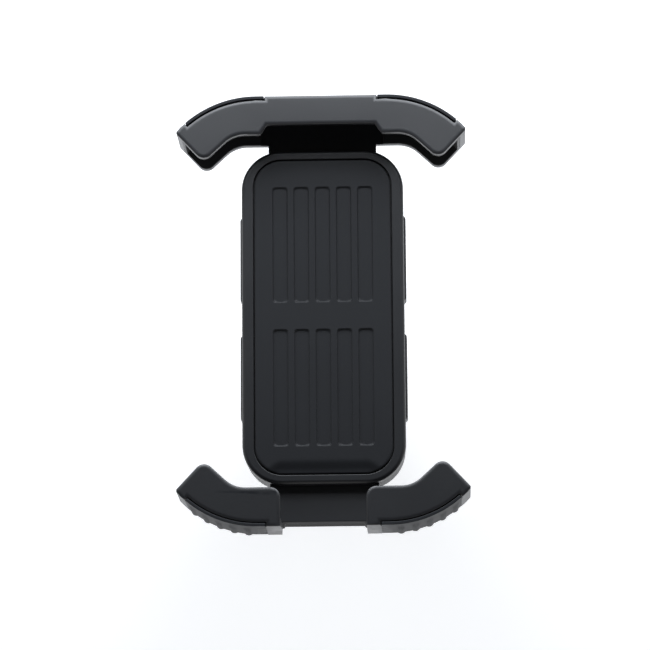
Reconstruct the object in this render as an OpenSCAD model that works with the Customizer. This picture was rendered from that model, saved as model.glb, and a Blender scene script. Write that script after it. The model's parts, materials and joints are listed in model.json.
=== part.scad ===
// Phone cradle with a ball joint and a handlebar clamp.
// Frame: origin on the axis of the clamped bar, X along the bar,
// Z up out of the phone face, Y towards the one-piece jaw.

/* [Cradle plate] */
// Width of the plate across the phone
plate_w = 50; // [46:0.5:62]
// Length of the plate between the jaws
plate_l = 104.6; // [98:0.2:128]
// Corner radius of the plate
plate_corner_r = 12.3; // [8:0.1:14]
// Thickness of the front plate
plate_t = 3.4; // [3:0.1:4.5]
// Width of the rim beside the pad
rim_w = 3.6; // [2.5:0.1:4.5]
// Width of the rim at the pad's two ends
rim_end = 2.8; // [2.2:0.1:4]
// Gap between the rim and the pad all round
pad_gap = 0.4; // [0.2:0.05:0.8]
// Depth of the pocket that holds the pad
pad_pocket = 1.6; // [1:0.1:2]
// How far the pad stands above the rim
pad_proud = 0.2; // [0:0.05:0.8]

/* [Pad pattern] */
// Number of long recesses in each row
slot_count = 5; // [3:1:6]
// Width of one recess
slot_w = 4.7; // [3:0.1:5]
// Distance between neighbouring recesses
slot_pitch = 6.55; // [5.8:0.05:7]
// Length of one recess
slot_l = 36.4; // [26:0.2:38]
// Width of the band between the two rows
slot_row_gap = 8.4; // [7:0.2:14]
// Depth of a recess
slot_depth = 0.5; // [0.3:0.05:0.8]
// Width of the finger scoop at the end of the pad
scoop_w = 30; // [20:0.5:34]
// Depth of the finger scoop
scoop_depth = 0.7; // [0.4:0.05:1]

/* [Rear housing] */
// Depth of the rear housing behind the front plate
housing_d = 10.2; // [9.8:0.1:14]
// Wall thickness of the rear housing
wall = 2; // [1.6:0.1:2.6]
// Length of one side grip strip
strip_l = 27.4; // [20:0.1:30]
// Distance of the strips' middles from the plate's middle
strip_y = 18.6; // [16:0.1:22]
// How far a strip stands out of the side
strip_out = 0.6; // [0.3:0.05:1.2]

/* [Jaws] */
// Reach of a closed jaw beyond the end of the plate
jaw_reach = 14.6; // [13.2:0.1:20]
// Half length of the straight stretch of a jaw
jaw_straight = 20; // [19:0.5:24]
// Outer radius of the curved ends
jaw_r_out = 33; // [31:0.5:35]
// Width of the front lip
lip_w = 12; // [10.5:0.1:13]
// Thickness of the front lip
lip_t = 2; // [1.6:0.1:2.6]
// Height of the front lip's face above the plate's rim
lip_top = 11.4; // [11:0.1:16]
// Slope of the jaw's end edge in degrees
end_slope = 47; // [42:1:52]
// Angle round the curve at which the end edge starts
end_angle = 41.3; // [40:0.1:46]
// Radius of the inner tip
tip_r = 3; // [2:0.1:3.5]
// Radius of the outer corner of the end
corner_r = 1; // [0.6:0.1:2]
// Distance from the middle at which a lip's inner edge starts to bend
bend_x = 23.5; // [21:0.1:25]
// Radius of that bend
bend_r = 9; // [7:0.5:12]
// Slope of the inner edge after the bend in degrees
bend_slope = 43; // [36:1:46]
// Thickness of the jaw's outer wall
jaw_wall = 2; // [1.6:0.1:2.6]
// Thickness of the ridged bumper on the outer wall
bumper_t = 1; // [0.8:0.1:1.4]
// Width of the groove between the bumper and the front lip
bumper_seam = 0.3; // [0.2:0.05:0.4]
// Thickness of the jaw's back lip and its tongue
tongue_t = 2.4; // [2:0.1:3]
// Width of the sliding tongue
tongue_w = 33.5; // [30:0.1:36]
// Opening travel of each jaw
travel = 22; // [16:0.2:26.4]
// Half width of the notch in the one-piece lip
notch_half = 16.6; // [14:0.1:17.5]
// Depth of the notch
notch_depth = 2.9; // [2:0.1:4]
// Half width of the gap between the two hooks
gap_half = 13; // [11:0.1:15]
// Thickness of the soft liner inside the hooks
liner_t = 0.8; // [0.6:0.1:1.2]

/* [Rack drive] */
// Gear module of the racks and the pinion
gear_m = 1; // [0.9:0.05:1.05]
// Teeth on the pinion
pinion_teeth = 12; // [12:1:12]
// Thickness of a rack
rack_t = 2.5; // [2:0.1:3]
// Width of a rack, teeth included
rack_w = 7.3; // [6:0.1:7.6]
// Radius of the pinion's axle
axle_r = 2; // [1.5:0.1:2.2]

/* [Ball joint] */
// Radius of the ball
ball_r = 8.5; // [8:0.1:10.5]
// Radius of the ball's neck
neck_r = 4.2; // [3.6:0.1:4.4]
// Height of the ball above the stud's flange
ball_lift = 3.5; // [3:0.1:8]
// Wall thickness of the socket's fingers
socket_wall = 1.85; // [1.6:0.05:2.6]
// Wall thickness of the collar nut
collar_wall = 2.9; // [2.7:0.1:4.5]

/* [Handlebar clamp] */
// Radius of the bar that the clamp holds
bar_r = 11.1; // [9.5:0.1:16]
// Width of the clamp along the bar
clamp_w = 24; // [20:0.5:30]
// Thickness of the rubber liners on the bar
bar_liner_t = 1.5; // [1:0.1:2]
// Thickness of the clamp frame above the bar and at its back
clamp_wall = 5.4; // [4.5:0.1:8]
// Opening travel of the pressure pad
pad_travel = 9; // [6:0.5:12]
// Radius of the clamp screw
screw_r = 3; // [2.5:0.1:3]
// Radius of the clamp knob
knob_r = 13; // [11:0.5:16]
// Height of the clamp knob
knob_h = 14; // [10:0.5:18]

/* [Hidden] */

$fn = 64;
// Cutters run this far past the faces that they cut
over = 1;
// Cutters at a corner reach this many times as far as the corner
past = 1.2;
// Gap between pieces that slide on each other
slide_gap = 0.3;
// Radial gap of a shaft in its bore
run_gap = 0.05;
// Gap between the ball and what holds it
ball_gap = 0.15;

// Heights along the stack, from the bar upwards
saddle_r = bar_r + bar_liner_t;
frame_top = saddle_r + clamp_wall;
stud_flange_t = 2.6;
ball_z = frame_top + stud_flange_t + ball_lift + ball_r;
seat_wall = 1.5;
seat_r = ball_r + seat_wall;
seat_lift = 0.7;
seat_h = ball_r + 1.15;
seat_gap = 0.15;
socket_flange_t = 2.8;
cup_lift = 0.4;
back_z = ball_z + seat_lift + seat_h + cup_lift + 0.05;
rim_z = back_z + housing_d + plate_t;
floor_z = back_z + wall;
plate_bottom = rim_z - plate_t;

// The pad
pad_w = plate_w - 2 * rim_w - 2 * pad_gap;
pad_l = plate_l - 2 * rim_end - 2 * pad_gap;
pad_corner_r = plate_corner_r - rim_w - pad_gap;
pad_t = pad_pocket + pad_proud;

// The jaws
jaw_y = plate_l / 2 + jaw_reach;
jaw_top = rim_z + lip_top;
tongue_top = plate_bottom - slide_gap;
tongue_z = tongue_top - tongue_t;
lip_z = jaw_top - lip_t;
lip_y = jaw_y - lip_w;
arc_x = jaw_straight;
arc_y = jaw_y - jaw_r_out;
tongue_end = 6;
notch_flare = 2;
gap_round = 3;
end_point = [arc_x + jaw_r_out * cos(end_angle), arc_y + jaw_r_out * sin(end_angle)];
end_dir = [cos(end_slope), sin(end_slope)];
end_norm = [-end_dir.y, end_dir.x];
bend_end = [bend_x + bend_r * sin(bend_slope), lip_y - bend_r * (1 - cos(bend_slope))];
bend_dir = [cos(bend_slope), -sin(bend_slope)];
bend_norm = [sin(bend_slope), cos(bend_slope)];
far = 4 * jaw_r_out;
bumper_x = 17.5;
bumper_end = 49;
bumper_foot = 1;
ridge_r = 1.6;
ridge_out = 0.45;
ridge_step = 7.8;
ridge_h = 11;
liner_x = 19;
bridge_y = jaw_y - 3.6;
bridge_slope = 2.6;
panel_w = 24.5;
panel_depth = 0.4;
panel_margin = 0.9;
panel_r = 1;

// The rack drive
pitch_r = gear_m * pinion_teeth / 2;
tooth_pitch = PI * gear_m;
pressure = 25;
addendum = 0.9 * gear_m;
dedendum = 1.2 * gear_m;
backlash = 0.3 * gear_m;
rack_top = tongue_z;
rack_z = rack_top - rack_t;
rack_out = pitch_r - addendum + rack_w;
rack_tip = travel + 6;
last_tooth = 2;
rack_screw_x = rack_out - 2.2;
rack_head_h = 1;
pinion_t = rack_t - slide_gap;
pinion_z = rack_z + slide_gap / 2;
boss_r = 3.4;
boss_top = pinion_z - 0.2;
axle_top = pinion_z + pinion_t + 0.1;
channel_half = rack_out + 0.4;
channel_end = plate_l / 2 - wall - 0.7;
rack_root = channel_end - travel - 1;
rack_screw_y = [rack_root - 14, rack_root - 4];
tongue_half = tongue_w / 2 + slide_gap;
ledge_z = tongue_z - 0.2;
pocket_in = tongue_half + wall;
pocket_out = plate_w / 2 - wall - 0.1;
pocket_l = 62;
spring_band = 0.35;
spring_gap = 0.35;
spring_turns = 5;
spring_inner = boss_r + 0.25;
spring_h = 1.8;
spring_z = floor_z + 0.1;

// Fasteners of the housing
housing_inset = 0.3;
tap_r = 0.95;
head_r = 1.9;
head_h = 1.4;
head_gap = 0.15;
clear_r = tap_r + 0.2;
cross_w = 0.5;
cross_l = 2.3;
post_r = 2.3;
post_gap = 0.1;
post_h = 3;
post_tap = 1.2;
blind_skin = 0.6;
blind_gap = 0.2;
corner_x = pocket_in + 0.9;
corner_y = plate_l / 2 - 9.2;
screw_spots = [for (x = [-1, 1], y = [-1, 1]) [x * corner_x, y * corner_y]];
post_z = plate_bottom - post_h;
strip_top = plate_bottom - 0.4;
strip_h = 6;
strip_chamfer = strip_out + housing_inset;

// The lock
lock_y = 20;
lock_shaft_r = 2;
lock_screw_l = 5.5;
cam_r = 2.9;
cam_lobe_r = 2;
cam_reach = 4.2;
cam_gap = 0.4;
lock_x = rack_out + 0.2 + cam_reach;
cam_h = ledge_z - floor_z - 2 * slide_gap;
cam_z = floor_z + slide_gap;
lever_t = 3.4;
lever_r = 4.6;
lever_end_r = 2.8;
lever_l = 11;
lever_floor = 1;
lever_z = back_z - slide_gap - lever_t;

// The ball joint
finger_drop = 4.5;
finger_count = 6;
finger_slot = 1.4;
finger_slot_end = ball_z + 2;
socket_r = seat_r + seat_gap + socket_wall;
socket_screw_r = socket_r + 3.4;
socket_flange_r = socket_screw_r + 2.6;
collar_gap = 0.3;
collar_r = socket_r + collar_gap + collar_wall;
collar_lip_t = 1.3;
collar_lip_r = sqrt(pow(ball_r, 2) - pow(finger_drop + collar_gap, 2)) + 0.2;
collar_top = ball_z + 5;
collar_bottom = ball_z - finger_drop - collar_gap - collar_lip_t;
flute_count = 14;
flute_r = 2;
flute_depth = 0.9;
neck_top = ball_z - ball_r / 2;
stud_screw_r = neck_r + 3.8;
stud_flange_r = stud_screw_r + 3.4;
stud_bite = 3;

// The handlebar clamp
saddle_half = 70;
pad_half = 50;
clamp_back = saddle_r + 0.3;
pad_bottom = -(saddle_r + 4.9);
arm_top = pad_bottom - pad_travel - 1;
arm_t = 7;
arm_bottom = arm_top - arm_t;
mouth_top = saddle_r * cos(saddle_half);
frame_front = -(saddle_r + 3.9);
frame_corner = 5;
pad_block_y = saddle_r * sin(pad_half) + 1.35;
bush_r = screw_r + 1.6;
screw_tip = pad_bottom + 2.3;
screw_pocket = 2.6;
screw_neck_r = screw_r - 0.8;
pin_r = 0.7;
pin_gap = 0.15;
pin_y = screw_neck_r + pin_r + pin_gap;
pin_z = pad_bottom + 1.1;
knob_top = arm_bottom - 1.5;
knob_bottom = knob_top - knob_h;
knob_floor = 3;
knob_lobes = 6;
knob_flute_r = 4.6;
knob_flute_depth = 2.4;
knob_cap_r = 6;
knob_cap_t = 1.2;

// Flat shapes

module rounded_rect(w, l, r) {
    square([w, l - 2 * r], center = true);
    square([w - 2 * r, l], center = true);
    for (x = [-1, 1], y = [-1, 1])
        translate([x * (w / 2 - r), y * (l / 2 - r)]) circle(r);
}

// Everything inside the outer curve of a jaw, moved inwards by an inset
module outer_region(inset) {
    r = jaw_r_out - inset;
    translate([-over, 0]) square([arc_x + over, arc_y + r]);
    translate([arc_x, arc_y])
        intersection() {
            circle(r, $fn = 128);
            translate([0, -r]) square([r, 2 * r]);
        }
}

// What lies below the inner edge of a lip: straight, then a bend, then a slope
module inner_cut() {
    translate([-2 * over, -over]) square([bend_x + 2 * over, lip_y + over]);
    translate([bend_x, lip_y - bend_r]) circle(bend_r);
    polygon([[bend_x, lip_y - bend_r], bend_end, bend_end + far * bend_dir, [bend_x, -far]]);
}

// What lies beyond the end edge
module end_cut() {
    polygon([end_point - far * end_dir, end_point + far * end_dir,
        end_point + far * (end_dir - end_norm), end_point - far * (end_dir + end_norm)]);
}

// Point where the line through p along u meets the line through q along v
function meet(p, u, q, v) = p + cross(q - p, v) / cross(u, v) * u;

// What a rounding of radius r leaves over at a corner between two straight edges
module tip_cut() {
    centre = meet(end_point + tip_r * end_norm, end_dir, bend_end + tip_r * bend_norm, bend_dir);
    corner = meet(end_point, end_dir, bend_end, bend_dir);
    difference() {
        polygon([centre, centre - tip_r * end_norm, centre + past * (corner - centre),
            centre - tip_r * bend_norm]);
        translate(centre) circle(tip_r);
    }
}

// What a rounding leaves over at the corner between the outer curve and the end edge
module corner_cut() {
    q = end_point - [arc_x, arc_y] + corner_r * end_norm;
    reach = jaw_r_out - corner_r;
    along = -q * end_dir + sqrt(pow(q * end_dir, 2) - q * q + reach * reach);
    centre = [arc_x, arc_y] + q + along * end_dir;
    outward = (centre - [arc_x, arc_y]) / reach;
    difference() {
        polygon([centre, centre - corner_r * end_norm,
            centre - corner_r * end_norm + past * 2 * corner_r * end_dir,
            [arc_x, arc_y] + past * jaw_r_out * outward]);
        translate(centre) circle(corner_r);
    }
}

// The right half of a lip's face
module jaw_half() {
    difference() {
        outer_region(0);
        inner_cut();
        end_cut();
        tip_cut();
        corner_cut();
    }
}

// A sector of a ring round the arc's centre, from angle a0 up to 90 degrees
module ring_sector(r0, r1, a0) {
    translate([arc_x, arc_y])
        intersection() {
            difference() {
                circle(r1, $fn = 128);
                circle(r0, $fn = 128);
            }
            polygon([[0, 0], [0, 2 * r1], [2 * r1, 2 * r1],
                [2 * r1 * cos(a0), 2 * r1 * sin(a0)]]);
        }
}

// The bumper's band on the right half of a jaw, with room at its back and ends
module bumper_band(extra, seam) {
    translate([bumper_x - seam, arc_y + jaw_r_out - bumper_t - seam])
        square([arc_x - bumper_x + seam, bumper_t + seam + extra]);
    ring_sector(jaw_r_out - bumper_t - seam, jaw_r_out + extra, bumper_end - seam * 2);
}

module both_halves() {
    children();
    mirror([1, 0]) children();
}

// Full face of a lip, with both bumper bands cut out
module lip_outline(seam) {
    difference() {
        both_halves() jaw_half();
        both_halves() bumper_band(over, seam);
    }
}

// The outer wall of a jaw
module wall_outline() {
    difference() {
        lip_outline(0);
        both_halves() outer_region(bumper_t + jaw_wall);
    }
}

module slab(z0, z1) {
    translate([0, 0, z0]) linear_extrude(z1 - z0) children();
}

module tongue_outline() {
    translate([-tongue_w / 2, tongue_end])
        square([tongue_w, lip_y + over - tongue_end]);
}

module rack_screw_holes(r, z0, z1) {
    for (y = rack_screw_y)
        translate([-rack_screw_x, y, z0]) cylinder(h = z1 - z0, r = r);
}

// Front of the cradle

module front_plate() {
    color("#2b2c2f")
        difference() {
            union() {
                slab(plate_bottom, rim_z) rounded_rect(plate_w, plate_l, plate_corner_r);
                for (p = screw_spots)
                    translate([p.x, p.y, post_z]) cylinder(h = post_h + over, r = post_r);
            }
            slab(rim_z - pad_pocket, rim_z + over)
                rounded_rect(pad_w + 2 * pad_gap, pad_l + 2 * pad_gap, pad_corner_r + pad_gap);
            for (p = screw_spots)
                translate([p.x, p.y, post_z - over])
                    cylinder(h = over + post_h + post_tap, r = tap_r);
        }
}

module grip_pad() {
    pad_top = rim_z + pad_proud;
    row_y = (slot_row_gap + slot_l) / 2;
    scoop_r = 12;
    color("#1f2023")
        difference() {
            slab(rim_z - pad_pocket, pad_top) rounded_rect(pad_w, pad_l, pad_corner_r);
            for (i = [0 : slot_count - 1], s = [-1, 1])
                translate([(i - (slot_count - 1) / 2) * slot_pitch, s * row_y, 0])
                    slab(pad_top - slot_depth, pad_top + over) rounded_rect(slot_w, slot_l, 1);
            translate([-scoop_w / 2, -pad_l / 2, pad_top + scoop_r - scoop_depth])
                rotate([0, 90, 0]) cylinder(h = scoop_w, r = scoop_r, $fn = 128);
        }
}

// Rear housing and its fasteners

module side_strips() {
    side = plate_w / 2 + strip_out;
    end = strip_l / 2;
    for (s = [-1, 1])
        translate([0, s * strip_y, strip_top - strip_h])
            linear_extrude(strip_h)
                both_halves()
                    polygon([[0, -end], [side - strip_chamfer, -end], [side, -end + strip_chamfer],
                        [side, end - strip_chamfer], [side - strip_chamfer, end], [0, end]]);
}

module housing_cavity() {
    cut_top = plate_bottom + over;
    slab(ledge_z, cut_top) square([2 * tongue_half, plate_l + 2 * over], center = true);
    slab(floor_z, cut_top) square([2 * channel_half, 2 * channel_end], center = true);
    for (s = [-1, 1])
        translate([s * (pocket_in + pocket_out) / 2, 0, 0])
            slab(floor_z, cut_top) square([pocket_out - pocket_in, pocket_l], center = true);
    translate([-lock_x, lock_y, floor_z])
        cylinder(h = ledge_z - floor_z + over, r = cam_reach + cam_gap);
    for (p = socket_screw_spots())
        translate([p.x, p.y, floor_z]) cylinder(h = head_h + slide_gap, r = head_r + head_gap);
    for (p = screw_spots)
        translate([p.x, p.y, post_z - post_gap])
            cylinder(h = post_h + over, r = post_r + post_gap);
}

module rear_housing() {
    color("#242528")
        difference() {
            union() {
                difference() {
                    union() {
                        slab(back_z, plate_bottom)
                            rounded_rect(plate_w - 2 * housing_inset, plate_l - 2 * housing_inset,
                                plate_corner_r - housing_inset);
                        side_strips();
                    }
                    housing_cavity();
                }
                translate([0, 0, floor_z - over])
                    cylinder(h = boss_top - floor_z + over, r = boss_r);
            }
            translate([0, 0, floor_z]) cylinder(h = plate_bottom - floor_z, r = axle_r);
            for (p = screw_spots)
                translate([p.x, p.y, back_z - over]) {
                    cylinder(h = housing_d, r = clear_r);
                    cylinder(h = head_h + over, r = head_r + head_gap);
                }
            for (p = socket_screw_spots())
                translate([p.x, p.y, back_z - over]) cylinder(h = wall + 2 * over, r = clear_r);
            translate([-lock_x, lock_y, back_z - over])
                cylinder(h = wall + 2 * over, r = lock_shaft_r + run_gap);
        }
}

module housing_screws() {
    color("#55575a")
        for (p = screw_spots)
            translate([p.x, p.y, back_z])
                screw(head_h, plate_bottom + post_tap - blind_gap - back_z - head_h);
}

// A pan-head screw that points up, with a cross recess in its head
module screw(head, shank) {
    difference() {
        union() {
            cylinder(h = head, r = head_r);
            cylinder(h = head + shank, r = tap_r);
        }
        for (a = [0, 90])
            rotate(a) translate([-cross_l / 2, -cross_w / 2, -over])
                cube([cross_l, cross_w, over + head / 2]);
    }
}

// Jaws

module jaw_tongue() {
    difference() {
        slab(tongue_z, tongue_top) tongue_outline();
        rack_screw_holes(tap_r, tongue_z - over, tongue_top - blind_skin);
    }
}

module upper_jaw() {
    color("#2a2b2f") {
        difference() {
            slab(lip_z, jaw_top) lip_outline(bumper_seam);
            translate([0, 0, lip_z - over]) linear_extrude(lip_t + 2 * over)
                polygon([[-notch_half - notch_flare, lip_y - over], [-notch_half - notch_flare, lip_y],
                    [-notch_half, lip_y + notch_depth], [notch_half, lip_y + notch_depth],
                    [notch_half + notch_flare, lip_y], [notch_half + notch_flare, lip_y - over]]);
        }
        slab(tongue_top, lip_z) wall_outline();
        slab(tongue_z, tongue_top) lip_outline(0);
        jaw_tongue();
    }
}

// The stretch of a lip that stays beside the charging gap, rounded at its inner corner
module hook_outline(inner_r) {
    intersection() {
        union() {
            for (s = [-1, 1])
                translate([s * (gap_half + jaw_r_out), lip_y + lip_w])
                    rounded_rect(2 * jaw_r_out, 2 * lip_w, inner_r);
            for (s = [-1, 1])
                translate([s * (arc_x + jaw_r_out), arc_y])
                    square([2 * jaw_r_out, 3 * jaw_r_out], center = true);
        }
        children();
    }
}

// What is taken off the outer edge of the bridge between the hooks
module bridge_edge() {
    foot_y = bridge_y + bridge_slope;
    translate([gap_half, 0, 0]) rotate([0, -90, 0]) linear_extrude(2 * gap_half)
        polygon([[tongue_top + over, bridge_y], [tongue_top, bridge_y], [tongue_z - over, foot_y],
            [tongue_z - over, jaw_y + over], [tongue_top + over, jaw_y + over]]);
}

// The shallow panel sunk in the sloping edge of the bridge
module bridge_panel() {
    panel_l = 2 * tongue_t;
    translate([0, bridge_y, tongue_top]) rotate([-atan2(tongue_t + over, bridge_slope), 0, 0])
        translate([0, panel_margin + panel_l / 2, 0])
            slab(-panel_depth, over) rounded_rect(panel_w, panel_l, panel_r);
}

module lower_jaw() {
    color("#25262a")
        mirror([0, 1, 0]) {
            slab(lip_z, jaw_top) hook_outline(gap_round) lip_outline(bumper_seam);
            slab(tongue_top, lip_z) intersection() {
                wall_outline();
                for (s = [-1, 1])
                    translate([s * (gap_half + jaw_r_out), arc_y])
                        square([2 * jaw_r_out, 3 * jaw_r_out], center = true);
            }
            difference() {
                slab(tongue_z, tongue_top) lip_outline(0);
                bridge_edge();
                bridge_panel();
            }
            mirror([1, 0, 0]) jaw_tongue();
        }
}

// A ridged band let into the outer wall of one hook
module bumper(side) {
    foot_z = tongue_z + bumper_foot;
    color("#303135")
        mirror([side < 0 ? 1 : 0, 0, 0]) {
            slab(foot_z, jaw_top) bumper_band(0, 0);
            slab(foot_z, foot_z + ridge_h)
                intersection() {
                    ring_sector(jaw_r_out - bumper_t, jaw_r_out + over, bumper_end);
                    translate([arc_x, arc_y])
                        for (a = [bumper_end + 4 : ridge_step : 88])
                            rotate(a) translate([jaw_r_out - ridge_r + ridge_out, 0]) circle(ridge_r);
                }
        }
}

module upper_left_bumper() { bumper(-1); }
module upper_right_bumper() { bumper(1); }
module lower_left_bumper() { mirror([0, 1, 0]) bumper(-1); }
module lower_right_bumper() { mirror([0, 1, 0]) bumper(1); }

// A soft channel inside one hook, open towards the phone
module hook_liner(side) {
    wall_inset = bumper_t + jaw_wall;
    color("#3a3b3f")
        mirror([side < 0 ? 1 : 0, 0, 0])
            difference() {
                slab(tongue_top, lip_z)
                    intersection() {
                        jaw_half();
                        outer_region(wall_inset);
                        translate([liner_x, 0]) square(2 * jaw_y);
                    }
                slab(tongue_top + liner_t, lip_z - liner_t) outer_region(wall_inset + 1.5 * liner_t);
            }
}

module upper_left_liner() { hook_liner(-1); }
module upper_right_liner() { hook_liner(1); }
module lower_left_liner() { mirror([0, 1, 0]) hook_liner(-1); }
module lower_right_liner() { mirror([0, 1, 0]) hook_liner(1); }

// Rack drive

module rack_profile() {
    half = tooth_pitch / 4 - backlash / 2;
    lean = tan(pressure);
    root_x = -pitch_r - dedendum;
    first = -floor((rack_tip - 1) / tooth_pitch);
    translate([-rack_out, -rack_tip])
        square([rack_out - pitch_r - dedendum, rack_tip + rack_root]);
    for (i = [first : last_tooth])
        translate([0, i * tooth_pitch])
            polygon([[root_x - over / 2, -half - dedendum * lean], [root_x, -half - dedendum * lean],
                [-pitch_r + addendum, -half + addendum * lean],
                [-pitch_r + addendum, half - addendum * lean],
                [root_x, half + dedendum * lean], [root_x - over / 2, half + dedendum * lean]]);
}

module rack() {
    color("#8d9093")
        difference() {
            slab(rack_z, rack_top) rack_profile();
            rack_screw_holes(tap_r, rack_z - over, rack_top + over);
            rack_screw_holes(head_r + head_gap, rack_z - over, rack_z + rack_head_h);
        }
}

module upper_rack() { rack(); }
module lower_rack() { rotate(180) rack(); }

module rack_screws() {
    color("#55575a")
        for (y = rack_screw_y)
            translate([-rack_screw_x, y, rack_z])
                screw(rack_head_h, tongue_top - blind_skin - blind_gap - rack_z - rack_head_h);
}

module upper_rack_screws() { rack_screws(); }
module lower_rack_screws() { rotate(180) rack_screws(); }

// One flank of an involute tooth, as points from the base circle outwards
function involute(base_r, t) =
    [base_r * (cos(t) + t * PI / 180 * sin(t)), base_r * (sin(t) - t * PI / 180 * cos(t))];
function turned(p, a) = [p.x * cos(a) - p.y * sin(a), p.x * sin(a) + p.y * cos(a)];

module drive_pinion() {
    base_r = pitch_r * cos(pressure);
    tip_radius = pitch_r + addendum;
    root_radius = pitch_r - dedendum;
    tooth_foot = root_radius - gear_m / 2;
    t_max = sqrt(pow(tip_radius / base_r, 2) - 1) * 180 / PI;
    inv_pitch = tan(pressure) * 180 / PI - pressure;
    half_angle = (tooth_pitch / 4 - backlash / 2) / pitch_r * 180 / PI + inv_pitch;
    steps = 6;
    flank = [for (i = [0 : steps]) involute(base_r, t_max * i / steps)];
    color("#b9a26a")
        difference() {
            slab(pinion_z, pinion_z + pinion_t) {
                circle(root_radius);
                for (k = [0 : pinion_teeth - 1])
                    rotate((k + 0.5) * 360 / pinion_teeth)
                        polygon(concat([[0, 0], turned([tooth_foot, 0], -half_angle)],
                            [for (p = flank) turned(p, -half_angle)],
                            [for (i = [steps : -1 : 0]) turned([flank[i].x, -flank[i].y], half_angle)],
                            [turned([tooth_foot, 0], half_angle)]));
            }
            translate([0, 0, pinion_z - over]) cylinder(h = pinion_t + 2 * over, r = axle_r + run_gap);
        }
}

module pinion_axle() {
    color("#a7a9ac")
        translate([0, 0, floor_z]) cylinder(h = axle_top - floor_z, r = axle_r);
}

// A flat spiral spring round the axle's boss
module return_spring() {
    growth = (spring_band + spring_gap) / 360;
    points = [for (a = [0 : 15 : 360 * spring_turns]) [a, spring_inner + growth * a]];
    color("#c0c2c5")
        slab(spring_z, spring_z + spring_h)
            polygon(concat(
                [for (p = points) p[1] * [cos(p[0]), sin(p[0])]],
                [for (i = [len(points) - 1 : -1 : 0])
                    (points[i][1] + spring_band) * [cos(points[i][0]), sin(points[i][0])]]));
}

// Lock

module lock_cam() {
    color("#a7a9ac")
        translate([-lock_x, lock_y, 0])
            difference() {
                union() {
                    slab(cam_z, cam_z + cam_h) {
                        circle(cam_r);
                        translate([0, cam_lobe_r - cam_reach]) circle(cam_lobe_r);
                        translate([-cam_lobe_r, cam_lobe_r - cam_reach])
                            square([2 * cam_lobe_r, cam_reach - cam_lobe_r]);
                    }
                    slab(lever_z + lever_floor, cam_z + over) circle(lock_shaft_r);
                }
                translate([0, 0, lever_z]) cylinder(h = lock_screw_l + blind_gap, r = tap_r);
            }
}

module lock_lever() {
    color("#35363a")
        translate([-lock_x, lock_y, 0])
            difference() {
                slab(lever_z, lever_z + lever_t) {
                    circle(lever_r);
                    translate([0, lever_l]) circle(lever_end_r);
                    polygon([[-lever_r, 0], [lever_r, 0], [lever_end_r, lever_l],
                        [-lever_end_r, lever_l]]);
                }
                translate([0, 0, lever_z + lever_floor]) cylinder(h = lever_t, r = lock_shaft_r);
                translate([0, 0, lever_z - over]) cylinder(h = lever_t, r = tap_r);
            }
}

module lock_screw() {
    color("#55575a")
        translate([-lock_x, lock_y, lever_z - head_h]) screw(head_h, lock_screw_l);
}

// Ball joint

function socket_screw_spots() =
    [for (a = [45 : 90 : 315]) socket_screw_r * [cos(a), sin(a)]];

module ball_socket() {
    finger_bottom = ball_z - finger_drop;
    cup_z = ball_z + cup_lift;
    color("#2b2c2f")
        difference() {
            union() {
                translate([0, 0, finger_bottom]) cylinder(h = back_z - finger_bottom, r = socket_r);
                slab(back_z - socket_flange_t, back_z) circle(socket_flange_r);
            }
            translate([0, 0, ball_z]) sphere(ball_r + ball_gap, $fn = 96);
            translate([0, 0, cup_z]) cylinder(h = back_z - cup_z + over, r = seat_r + seat_gap);
            for (i = [0 : finger_count - 1])
                rotate(i * 360 / finger_count)
                    translate([neck_r, -finger_slot / 2, finger_bottom - over])
                        cube([socket_r, finger_slot, finger_slot_end - finger_bottom + over]);
            for (p = socket_screw_spots())
                translate([p.x, p.y, back_z - socket_flange_t + blind_skin])
                    cylinder(h = socket_flange_t, r = tap_r);
        }
}

module socket_screws() {
    color("#55575a")
        for (p = socket_screw_spots())
            translate([p.x, p.y, floor_z + head_h]) mirror([0, 0, 1])
                screw(head_h, wall + socket_flange_t - blind_skin - blind_gap);
}

module ball_seat() {
    seat_z = ball_z + seat_lift;
    color("#d9d8d2")
        difference() {
            translate([0, 0, seat_z]) cylinder(h = seat_h, r = seat_r);
            translate([0, 0, ball_z]) sphere(ball_r + ball_gap, $fn = 96);
        }
}

module collar_nut() {
    color("#303135")
        difference() {
            translate([0, 0, collar_bottom]) cylinder(h = collar_top - collar_bottom, r = collar_r);
            translate([0, 0, collar_bottom + collar_lip_t])
                cylinder(h = collar_top - collar_bottom, r = socket_r + collar_gap);
            translate([0, 0, collar_bottom - over])
                cylinder(h = collar_lip_t + 2 * over, r = collar_lip_r);
            for (i = [0 : flute_count - 1])
                rotate(i * 360 / flute_count)
                    translate([collar_r + flute_r - flute_depth, 0, collar_bottom - over])
                        cylinder(h = collar_top - collar_bottom + 2 * over, r = flute_r, $fn = 32);
        }
}

function stud_screw_spots() =
    [for (a = [45 : 90 : 315]) stud_screw_r * [cos(a), sin(a)]];

module ball_stud() {
    flange_top = frame_top + stud_flange_t;
    color("#3a3b3f")
        difference() {
            union() {
                slab(frame_top, flange_top) circle(stud_flange_r);
                slab(flange_top - over, neck_top) circle(neck_r);
                translate([0, 0, ball_z]) sphere(ball_r, $fn = 96);
            }
            for (p = stud_screw_spots())
                translate([p.x, p.y, frame_top - over]) {
                    cylinder(h = stud_flange_t + 2 * over, r = clear_r);
                    translate([0, 0, over + stud_flange_t - head_h])
                        cylinder(h = head_h + over, r = head_r + head_gap);
                }
        }
}

module stud_screws() {
    color("#55575a")
        for (p = stud_screw_spots())
            translate([p.x, p.y, frame_top + stud_flange_t]) mirror([0, 0, 1])
                screw(head_h, stud_flange_t - head_h + stud_bite);
}

// Handlebar clamp, drawn in the plane across the bar

// Stands a flat shape drawn as (y, z) up across the bar
module across_bar(width) {
    rotate([90, 0, 90]) translate([0, 0, -width / 2]) linear_extrude(width) children();
}

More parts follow.
